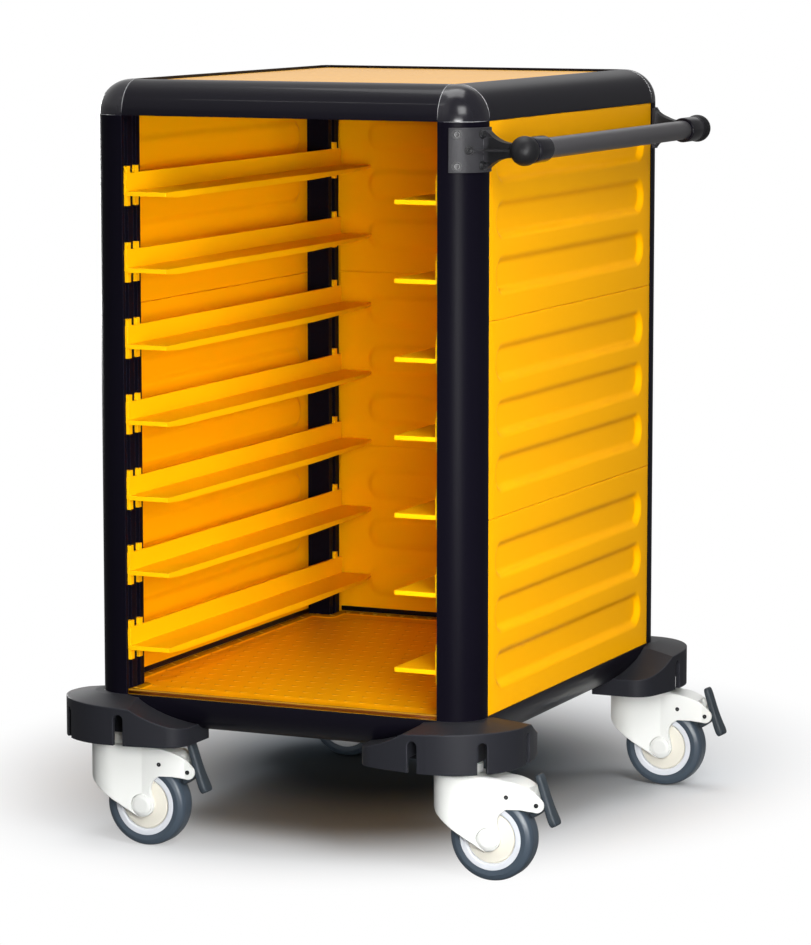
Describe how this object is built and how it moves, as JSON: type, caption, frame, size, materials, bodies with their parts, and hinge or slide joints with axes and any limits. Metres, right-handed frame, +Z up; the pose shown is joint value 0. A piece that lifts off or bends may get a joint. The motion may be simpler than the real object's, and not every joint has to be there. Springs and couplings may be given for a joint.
{
  "type": "meal tray cart",
  "caption": "Open-fronted tray cart with ribbed side and back walls, ledges for sliding trays, side push handle, corner bumpers and braked swivel casters.",
  "frame": {"origin": "on the floor, under the middle of the cart's overall box", "axes": "+Z up, -Y towards the open front, +X towards the push handle"},
  "size_m": [0.622, 0.69, 0.89],
  "materials": {
    "aluminium_black": "satin",
    "black_casting": "gloss",
    "amber_wall": "gloss",
    "amber_sheet": "gloss",
    "amber_floor": "gloss",
    "amber_slide": "gloss",
    "grey_tube": "satin",
    "screw_steel": "satin",
    "bumper_black": "matte",
    "pale_steel": "satin",
    "caster_white": "satin",
    "core_grey": "satin",
    "tyre_grey": "matte",
    "pedal_grey": "matte"
  },
  "bodies": {
    "cart": {"post_front_left": "aluminium_black", "post_front_right": "aluminium_black", "post_rear_left": "aluminium_black", "post_rear_right": "aluminium_black", "top_rail_front": "aluminium_black", "top_rail_rear": "aluminium_black", "top_rail_left": "aluminium_black", "top_rail_right": "aluminium_black", "bottom_rail_front": "aluminium_black", "bottom_rail_rear": "aluminium_black", "bottom_rail_left": "aluminium_black", "bottom_rail_right": "aluminium_black", "top_corner_caps": "black_casting", "bottom_corner_blocks": "black_casting", "handle_bracket_front": "black_casting", "handle_bracket_rear": "black_casting", "handle_ferrules": "black_casting", "left_wall_lower": "amber_wall", "left_wall_middle": "amber_wall", "left_wall_upper": "amber_wall", "right_wall_lower": "amber_wall", "right_wall_middle": "amber_wall", "right_wall_upper": "amber_wall", "back_wall_lower": "amber_wall", "back_wall_middle": "amber_wall", "back_wall_upper": "amber_wall", "top_panel": "amber_sheet", "floor_tray": "amber_floor", "tray_slides_level_1": "amber_slide", "tray_slides_level_2": "amber_slide", "tray_slides_level_3": "amber_slide", "tray_slides_level_4": "amber_slide", "tray_slides_level_5": "amber_slide", "tray_slides_level_6": "amber_slide", "tray_slides_level_7": "amber_slide", "handle_tube": "grey_tube", "bracket_screws": "screw_steel", "corner_bumpers": "bumper_black", "caster_stems": "pale_steel", "swivel_bearings": "pale_steel"},
    "caster_front_left": {"fork_front_left": "caster_white", "axle_front_left": "caster_white"},
    "wheel_front_left": {"wheel_core_front_left": "core_grey", "wheel_tyre_front_left": "tyre_grey"},
    "pedal_front_left": {"brake_pedal_front_left": "pedal_grey"},
    "caster_front_right": {"fork_front_right": "caster_white", "axle_front_right": "caster_white"},
    "wheel_front_right": {"wheel_core_front_right": "core_grey", "wheel_tyre_front_right": "tyre_grey"},
    "pedal_front_right": {"brake_pedal_front_right": "pedal_grey"},
    "caster_rear_left": {"fork_rear_left": "caster_white", "axle_rear_left": "caster_white"},
    "wheel_rear_left": {"wheel_core_rear_left": "core_grey", "wheel_tyre_rear_left": "tyre_grey"},
    "pedal_rear_left": {"brake_pedal_rear_left": "pedal_grey"},
    "caster_rear_right": {"fork_rear_right": "caster_white", "axle_rear_right": "caster_white"},
    "wheel_rear_right": {"wheel_core_rear_right": "core_grey", "wheel_tyre_rear_right": "tyre_grey"},
    "pedal_rear_right": {"brake_pedal_rear_right": "pedal_grey"}
  },
  "joints": [
    {"name": "swivel_front_left", "type": "hinge", "parent": "cart", "child": "caster_front_left", "pos_m": [-0.244, -0.278, 0.12], "axis": [0, 0, 1], "continuous": true},
    {"name": "roll_front_left", "type": "hinge", "parent": "caster_front_left", "child": "wheel_front_left", "pos_m": [-0.204, -0.278, 0.05], "axis": [0, 1, 0], "continuous": true},
    {"name": "brake_front_left", "type": "hinge", "parent": "caster_front_left", "child": "pedal_front_left", "pos_m": [-0.149, -0.278, 0.0915], "axis": [0, 1, 0], "range_deg": [0, 18]},
    {"name": "swivel_front_right", "type": "hinge", "parent": "cart", "child": "caster_front_right", "pos_m": [0.192, -0.278, 0.12], "axis": [0, 0, 1], "continuous": true},
    {"name": "roll_front_right", "type": "hinge", "parent": "caster_front_right", "child": "wheel_front_right", "pos_m": [0.232, -0.278, 0.05], "axis": [0, 1, 0], "continuous": true},
    {"name": "brake_front_right", "type": "hinge", "parent": "caster_front_right", "child": "pedal_front_right", "pos_m": [0.287, -0.278, 0.0915], "axis": [0, 1, 0], "range_deg": [0, 18]},
    {"name": "swivel_rear_left", "type": "hinge", "parent": "cart", "child": "caster_rear_left", "pos_m": [-0.244, 0.278, 0.12], "axis": [0, 0, 1], "continuous": true},
    {"name": "roll_rear_left", "type": "hinge", "parent": "caster_rear_left", "child": "wheel_rear_left", "pos_m": [-0.204, 0.278, 0.05], "axis": [0, 1, 0], "continuous": true},
    {"name": "brake_rear_left", "type": "hinge", "parent": "caster_rear_left", "child": "pedal_rear_left", "pos_m": [-0.149, 0.278, 0.0915], "axis": [0, 1, 0], "range_deg": [0, 18]},
    {"name": "swivel_rear_right", "type": "hinge", "parent": "cart", "child": "caster_rear_right", "pos_m": [0.192, 0.278, 0.12], "axis": [0, 0, 1], "continuous": true},
    {"name": "roll_rear_right", "type": "hinge", "parent": "caster_rear_right", "child": "wheel_rear_right", "pos_m": [0.232, 0.278, 0.05], "axis": [0, 1, 0], "continuous": true},
    {"name": "brake_rear_right", "type": "hinge", "parent": "caster_rear_right", "child": "pedal_rear_right", "pos_m": [0.287, 0.278, 0.0915], "axis": [0, 1, 0], "range_deg": [0, 18]}
  ]
}
